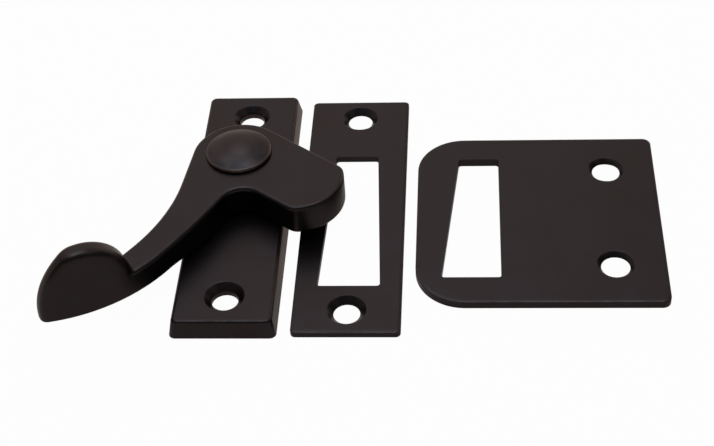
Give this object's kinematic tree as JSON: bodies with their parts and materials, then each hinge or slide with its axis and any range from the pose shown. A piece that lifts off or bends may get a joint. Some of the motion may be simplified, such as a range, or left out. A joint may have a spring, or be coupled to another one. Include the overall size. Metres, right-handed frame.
{
  "type": "turn lever latch",
  "caption": "Turn-lever latch: rounded nose, curved arm and upright thumb fin riveted on a countersunk base plate, with a narrow strike and a squarish rim strike, each with a tapered slot.",
  "frame": {"origin": "middle of the base plate on its mounting plane, on the back of its cross rib and midway between its two screw holes", "axes": "+X across the base plate towards the strikes, +Y along the base plate towards its pivot end, +Z out of the mounting plane"},
  "size_m": [0.1198, 0.071, 0.0205],
  "materials": {
    "dark_bronze": "oil-rubbed dark bronze, satin, worn warm at the edges",
    "spring_steel": "plain spring steel, oiled"
  },
  "bodies": {
    "base": {"base_plate": "dark_bronze", "pivot_rivet": "dark_bronze", "rivet_burr": "dark_bronze", "bearing_washer": "spring_steel", "spring_washer": "spring_steel"},
    "lever": {"lever": "dark_bronze"},
    "flat_strike": {"flat_strike": "dark_bronze"},
    "rim_strike": {"rim_strike": "dark_bronze"}
  },
  "joints": [
    {"name": "lever_turn", "type": "hinge", "parent": "base", "child": "lever", "pos_m": [0, 0.0069, 0], "axis": [0, 0, 1], "range_deg": [-54, 36]},
    {"name": "flat_strike_slide", "type": "slide", "parent": "base", "child": "flat_strike", "axis": [0, -1, 0], "range_m": [0, 0.08]},
    {"name": "rim_strike_lift", "type": "slide", "parent": "base", "child": "rim_strike", "axis": [0, 0, 1], "range_m": [0, 0.06]}
  ]
}
